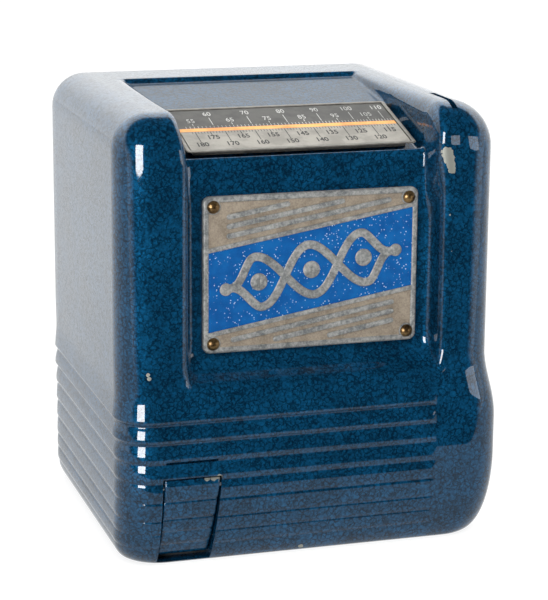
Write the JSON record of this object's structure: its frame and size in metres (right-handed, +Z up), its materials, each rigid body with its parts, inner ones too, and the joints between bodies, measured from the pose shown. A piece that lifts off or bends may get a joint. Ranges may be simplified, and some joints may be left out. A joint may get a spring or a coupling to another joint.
{
  "type": "trade stimulator",
  "caption": "Counter-top reel game in a blue hammered casing with a ribbed skirt, a dial lid over the reel window, a front plate, a coin slot, a pull lever and a gum flap.",
  "frame": {"origin": "middle of the casing's footprint, on its bottom face", "axes": "+X to the right seen from the front, +Y to the back, +Z up"},
  "size_m": [0.154, 0.129, 0.1524],
  "materials": {
    "hammered_blue": "gloss",
    "plate_metal": "weathered",
    "rivet_brass": "polished",
    "dial_rim": "satin",
    "dial_print": "satin",
    "steel": "satin",
    "sheet_steel": "satin",
    "dark_steel": "satin",
    "clear_glass": "gloss",
    "gear_brass": "satin",
    "reel_white": "satin",
    "reel_print": "satin",
    "fibre": "matte",
    "knob_black": "gloss"
  },
  "bodies": {
    "cabinet": {"casing": "hammered_blue", "base_plate": "dark_steel", "base_screws": "steel", "nameplate": "plate_metal", "nameplate_rivets": "rivet_brass", "dial_pivot_pins": "steel", "window_glass": "clear_glass", "window_frame": "dark_steel", "flap_pin": "steel", "gum_chute": "sheet_steel", "gum_deck": "sheet_steel", "gum_hopper": "sheet_steel", "coin_chute": "sheet_steel", "coin_rocker_pin": "steel", "frame_plate_left": "dark_steel", "frame_plate_right": "dark_steel", "frame_screws": "steel", "tie_rods": "steel", "tie_rod_nuts": "steel", "reel_shaft": "steel", "reel_collars": "steel", "stop_shaft": "steel", "shaft_bush": "gear_brass", "door_hinge_pin": "steel"},
    "lever": {"lever_shaft": "steel", "lever_arm": "steel", "lever_knob": "knob_black", "lever_nut": "steel", "drive_gear": "gear_brass", "gum_pinion": "gear_brass", "return_spring": "steel"},
    "kicker": {"kicker_shaft": "steel", "kicker_sector": "gear_brass", "kicker_fingers": "steel"},
    "shuttle": {"gum_shuttle": "fibre"},
    "reel_left": {"reel_drum_left": "reel_white", "reel_strip_left": "reel_print", "star_wheel_left": "steel"},
    "reel_centre": {"reel_drum_centre": "reel_white", "reel_strip_centre": "reel_print", "star_wheel_centre": "steel"},
    "reel_right": {"reel_drum_right": "reel_white", "reel_strip_right": "reel_print", "star_wheel_right": "steel"},
    "stop_left": {"stop_arm_left": "steel"},
    "stop_centre": {"stop_arm_centre": "steel"},
    "stop_right": {"stop_arm_right": "steel"},
    "flap": {"gum_flap": "hammered_blue"},
    "dial_lid": {"dial_frame": "dial_rim", "dial_scale": "dial_print"},
    "door": {"rear_door": "hammered_blue", "lock_barrel": "steel", "lock_nut": "steel"},
    "lock": {"lock_plug": "gear_brass", "lock_cam": "steel"},
    "drawer": {"cash_drawer": "dark_steel", "drawer_knob": "steel"},
    "rocker": {"coin_rocker": "steel"}
  },
  "joints": [
    {"name": "lever_pull", "type": "hinge", "parent": "cabinet", "child": "lever", "pos_m": [0.07045, 0.02, 0.048], "axis": [1, 0, 0], "range_deg": [0, 50], "stiffness_Nm_per_rad": 0.6, "springref_deg": -20.05},
    {"name": "kicker_swing", "type": "hinge", "parent": "cabinet", "child": "kicker", "pos_m": [0, -0.01519, 0.07357], "axis": [1, 0, 0], "range_deg": [-31.06, 0.5]},
    {"name": "shuttle_slide", "type": "slide", "parent": "cabinet", "child": "shuttle", "axis": [0, -1, 0], "range_m": [-0.0002, 0.0192]},
    {"name": "reel_left_spin", "type": "hinge", "parent": "cabinet", "child": "reel_left", "pos_m": [0, -0.02053, 0.1121], "axis": [1, 0, 0], "continuous": true},
    {"name": "reel_centre_spin", "type": "hinge", "parent": "cabinet", "child": "reel_centre", "pos_m": [0, -0.02053, 0.1121], "axis": [1, 0, 0], "continuous": true},
    {"name": "reel_right_spin", "type": "hinge", "parent": "cabinet", "child": "reel_right", "pos_m": [0, -0.02053, 0.1121], "axis": [1, 0, 0], "continuous": true},
    {"name": "stop_left_drop", "type": "hinge", "parent": "cabinet", "child": "stop_left", "pos_m": [0, -0.00352, 0.0851], "axis": [1, 0, 0], "range_deg": [-6, 3]},
    {"name": "stop_centre_drop", "type": "hinge", "parent": "cabinet", "child": "stop_centre", "pos_m": [0, -0.00352, 0.0851], "axis": [1, 0, 0], "range_deg": [-6, 3]},
    {"name": "stop_right_drop", "type": "hinge", "parent": "cabinet", "child": "stop_right", "pos_m": [0, -0.00352, 0.0851], "axis": [1, 0, 0], "range_deg": [-6, 3]},
    {"name": "flap_swing", "type": "hinge", "parent": "cabinet", "child": "flap", "pos_m": [-0.043, -0.0576, 0.0282], "axis": [-1, 0, 0], "range_deg": [0, 70]},
    {"name": "dial_lid_swing", "type": "hinge", "parent": "cabinet", "child": "dial_lid", "pos_m": [0, -0.01411, 0.14575], "axis": [-1, 0, 0], "range_deg": [0, 125]},
    {"name": "door_swing", "type": "hinge", "parent": "cabinet", "child": "door", "pos_m": [-0.0535, 0.0625, 0.08], "axis": [0, 0, 1], "range_deg": [0, 110]},
    {"name": "lock_turn", "type": "hinge", "parent": "door", "child": "lock", "pos_m": [0.038, 0.062, 0.084], "axis": [0, -1, 0], "range_deg": [0, 90]},
    {"name": "drawer_slide", "type": "slide", "parent": "cabinet", "child": "drawer", "axis": [0, 1, 0], "range_m": [0, 0.075]},
    {"name": "rocker_tip", "type": "hinge", "parent": "cabinet", "child": "rocker", "pos_m": [0.0431, -0.0377, 0.097], "axis": [0, 1, 0], "range_deg": [0, 18]}
  ],
  "couplings": [
    {"joint": "kicker_swing", "follows": "lever_pull", "ratio": -0.61111},
    {"joint": "shuttle_slide", "follows": "lever_pull", "m_per_rad": 0.02175}
  ]
}
